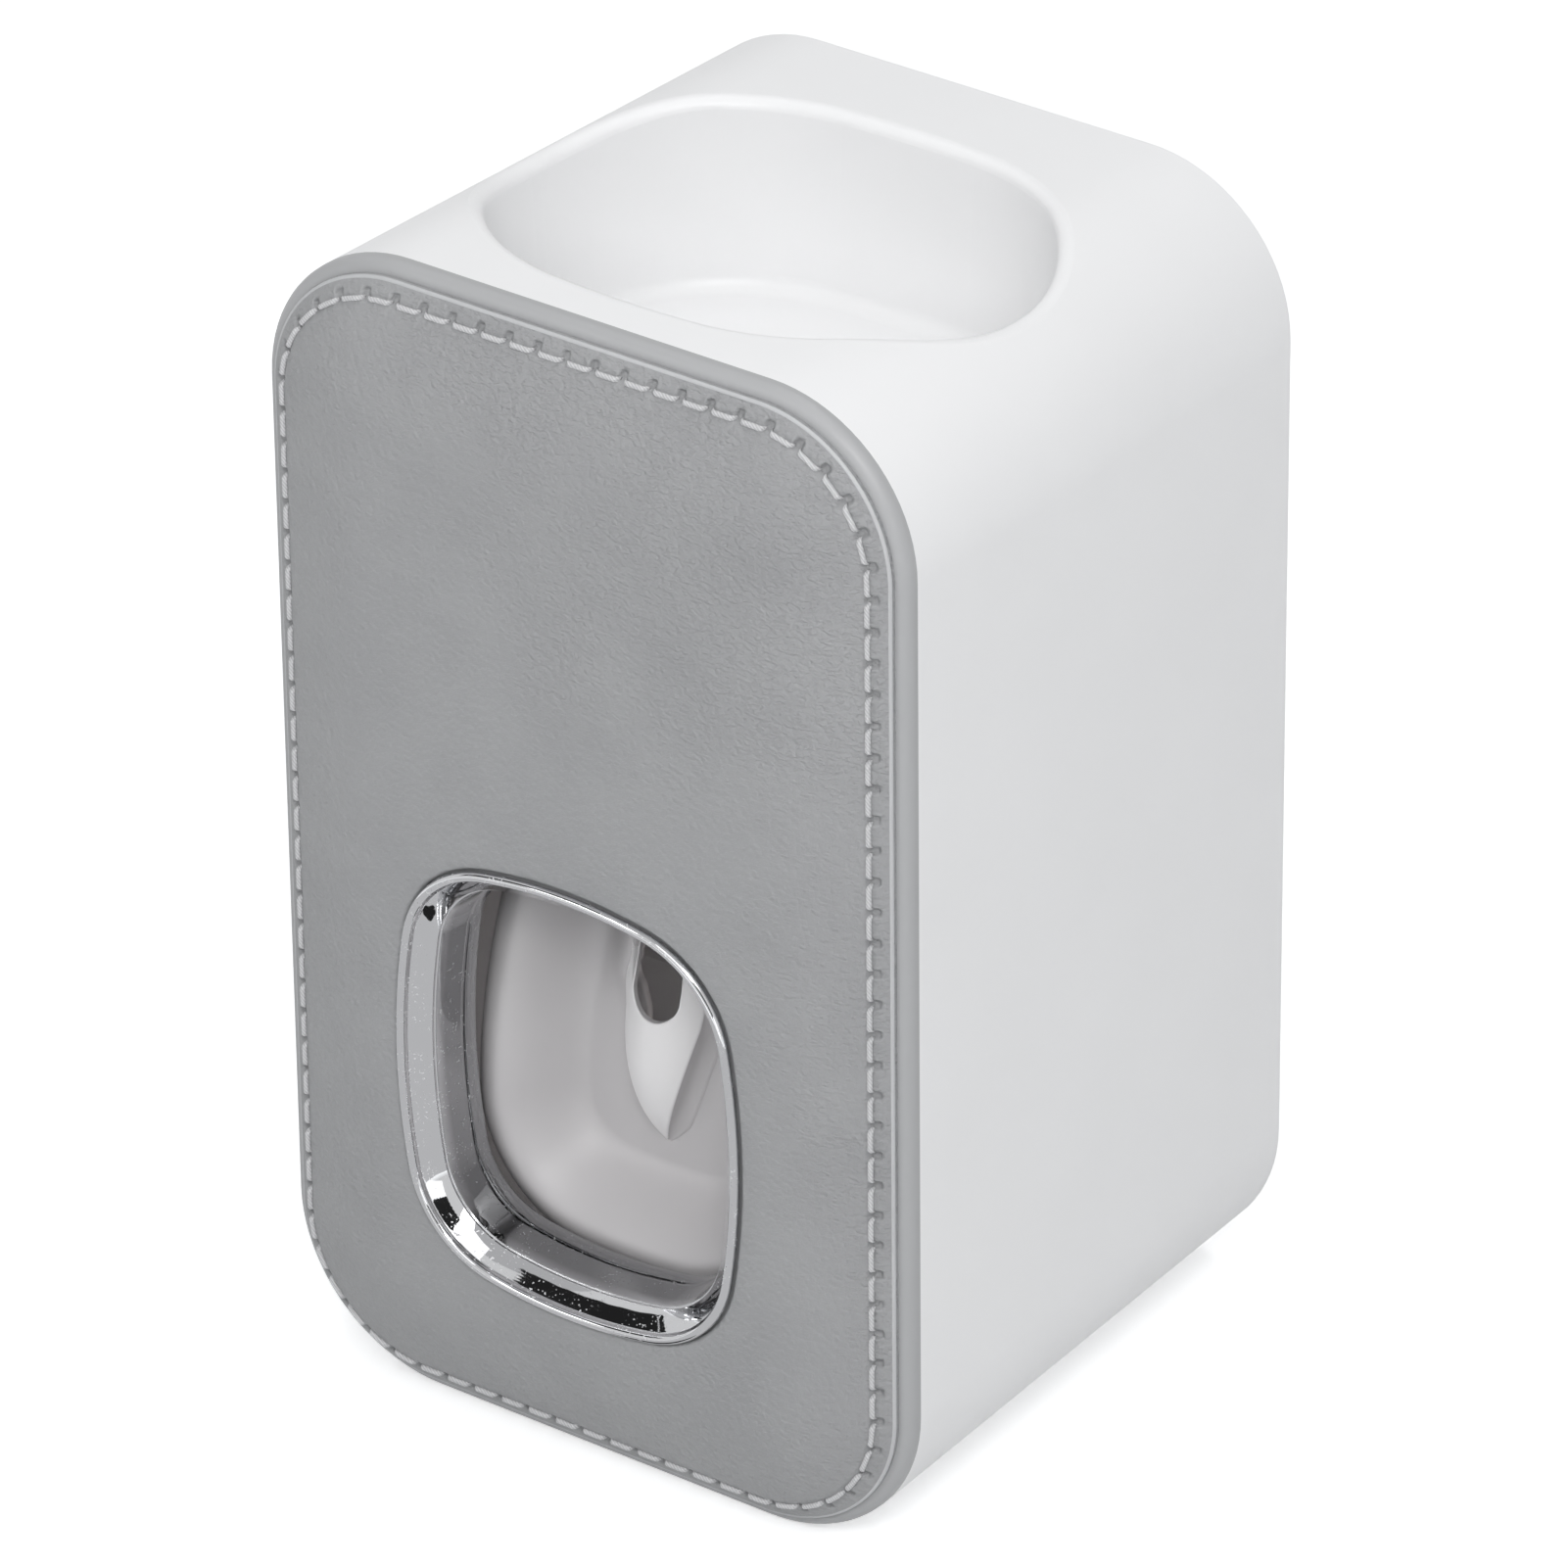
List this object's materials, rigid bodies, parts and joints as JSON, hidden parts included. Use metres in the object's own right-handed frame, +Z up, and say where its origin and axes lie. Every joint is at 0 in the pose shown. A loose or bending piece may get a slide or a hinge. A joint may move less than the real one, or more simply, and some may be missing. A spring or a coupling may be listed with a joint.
{
  "type": "wall-mounted toothpaste dispenser",
  "caption": "White toothpaste dispenser with a tube socket on top, a stitched grey leather front, and a chrome-framed window whose push lever works a paste pump.",
  "frame": {"origin": "on the floor, under the middle of the part's bounding box", "axes": "+X to the right seen from the front, +Y from the front towards the wall, +Z up"},
  "size_m": [0.066, 0.0624, 0.1102],
  "materials": {
    "white_shell": "satin white moulded plastic",
    "grey_cover": "satin light grey moulded plastic",
    "grey_leather": "fine-grained grey leatherette",
    "chrome_plating": "bright chrome plating on plastic",
    "lever_plastic": "light grey moulded plastic, smooth",
    "pump_plastic": "natural white moulded plastic",
    "silicone": "translucent white silicone",
    "pin_steel": "ground stainless steel",
    "spring_steel": "drawn stainless wire",
    "screw_steel": "nickel-plated steel",
    "back_plastic": "fine-textured white plastic",
    "bracket_plastic": "white moulded plastic",
    "pad_foam": "grey closed-cell foam tape"
  },
  "bodies": {
    "housing": {"shell": "white_shell", "front_cover": "grey_cover", "leather_facing": "grey_leather", "chrome_bezel": "chrome_plating", "tube_seal": "silicone", "pump_body": "pump_plastic", "inlet_valve": "silicone", "cylinder_cap": "pump_plastic", "pivot_pins": "pin_steel", "outlet_nozzle": "silicone", "nozzle_collar": "pump_plastic", "pump_screws": "screw_steel", "back_plate": "back_plastic", "back_plate_screws": "screw_steel", "return_spring": "spring_steel"},
    "lever": {"push_lever": "lever_plastic"},
    "pump_piston": {"piston": "pump_plastic", "piston_seal": "silicone", "crosshead": "pump_plastic", "drive_pin": "pin_steel"},
    "wall_bracket": {"wall_plate": "bracket_plastic", "adhesive_pad": "pad_foam"}
  },
  "joints": [
    {"name": "lever_hinge", "type": "hinge", "parent": "housing", "child": "lever", "pos_m": [0, -0.013, 0.062], "axis": [1, 0, 0], "range_deg": [0, 18], "stiffness_Nm_per_rad": 0.15, "springref_deg": -8.59},
    {"name": "piston_slide", "type": "slide", "parent": "housing", "child": "pump_piston", "axis": [0, 0, 1], "range_m": [0, 0.0036], "deforming": ["return_spring"]},
    {"name": "wall_plate_slide", "type": "slide", "parent": "housing", "child": "wall_bracket", "axis": [0, 0, -1], "range_m": [0, 0.008]}
  ],
  "couplings": [
    {"joint": "piston_slide", "follows": "lever_hinge", "m_per_rad": 0.0112}
  ]
}
